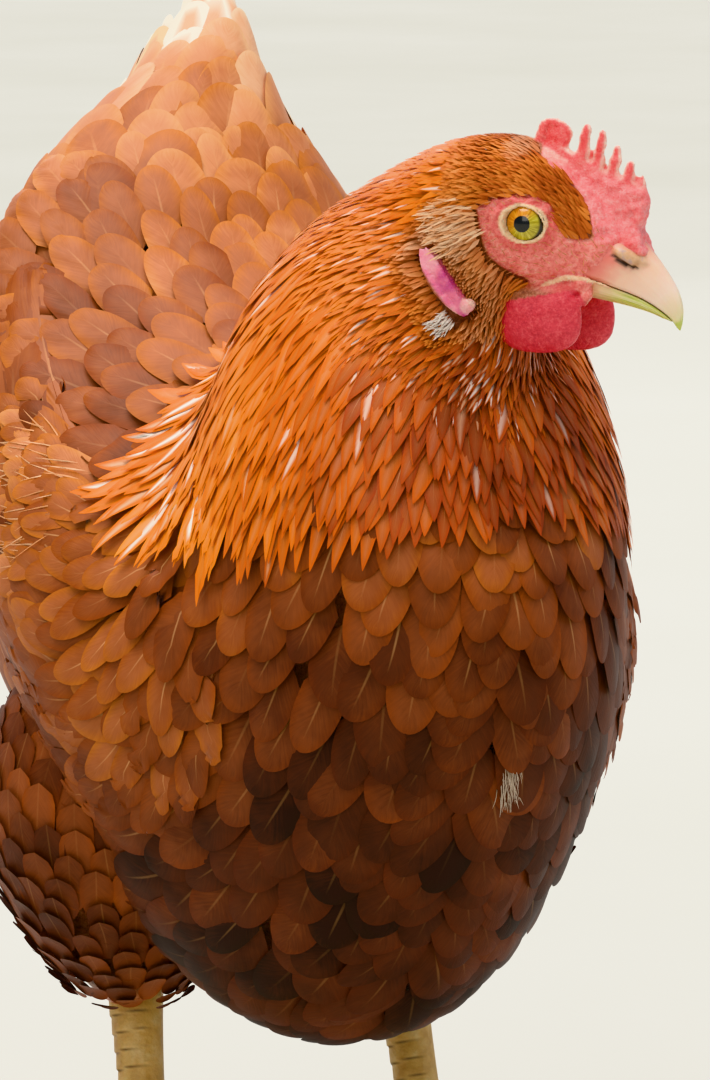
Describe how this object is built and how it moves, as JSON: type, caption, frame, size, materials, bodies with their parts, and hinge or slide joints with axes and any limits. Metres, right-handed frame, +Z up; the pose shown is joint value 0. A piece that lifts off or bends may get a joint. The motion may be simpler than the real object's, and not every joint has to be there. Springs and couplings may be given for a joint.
{
  "type": "brown laying hen, standing, head turned left",
  "caption": "Life-size brown laying hen standing on both feet, body low and full, head turned to its left, single comb up.",
  "frame": {"origin": "on the floor, under the middle of the whole bird's bounding box", "axes": "the hen faces -Y, its left side is at +X, +Z is up"},
  "size_m": [0.1888, 0.2856, 0.353],
  "materials": {
    "body_feathers": "overlapping red-brown feathers",
    "hackle_feathers": "narrow orange-gold neck feathers",
    "comb_skin": "granular red comb, wattle and ear lobe skin",
    "leg_scales": "pale yellow horny scales",
    "horn": "smooth horn of bill and claws",
    "eye": "wet amber eye"
  },
  "bodies": {
    "root": {"bill_lower": "horn", "bill_upper": "horn", "claw_back_L": "horn", "claw_back_R": "horn", "claw_inner_L": "horn", "claw_inner_R": "horn", "claw_middle_L": "horn", "claw_middle_R": "horn", "claw_outer_L": "horn", "claw_outer_R": "horn", "comb": "comb_skin", "earlobe_L": "comb_skin", "earlobe_R": "comb_skin", "eye_L": "eye", "eye_R": "eye", "head": "hackle_feathers", "neck": "hackle_feathers", "shank_L": "leg_scales", "shank_R": "leg_scales", "tail": "body_feathers", "thigh_L": "body_feathers", "thigh_R": "body_feathers", "toe_back_L": "leg_scales", "toe_back_R": "leg_scales", "toe_inner_L": "leg_scales", "toe_inner_R": "leg_scales", "toe_middle_L": "leg_scales", "toe_middle_R": "leg_scales", "toe_outer_L": "leg_scales", "toe_outer_R": "leg_scales", "trunk": "body_feathers", "wattle_L": "comb_skin", "wattle_R": "comb_skin", "wing_L": "body_feathers", "wing_R": "body_feathers"}
  },
  "joints": []
}
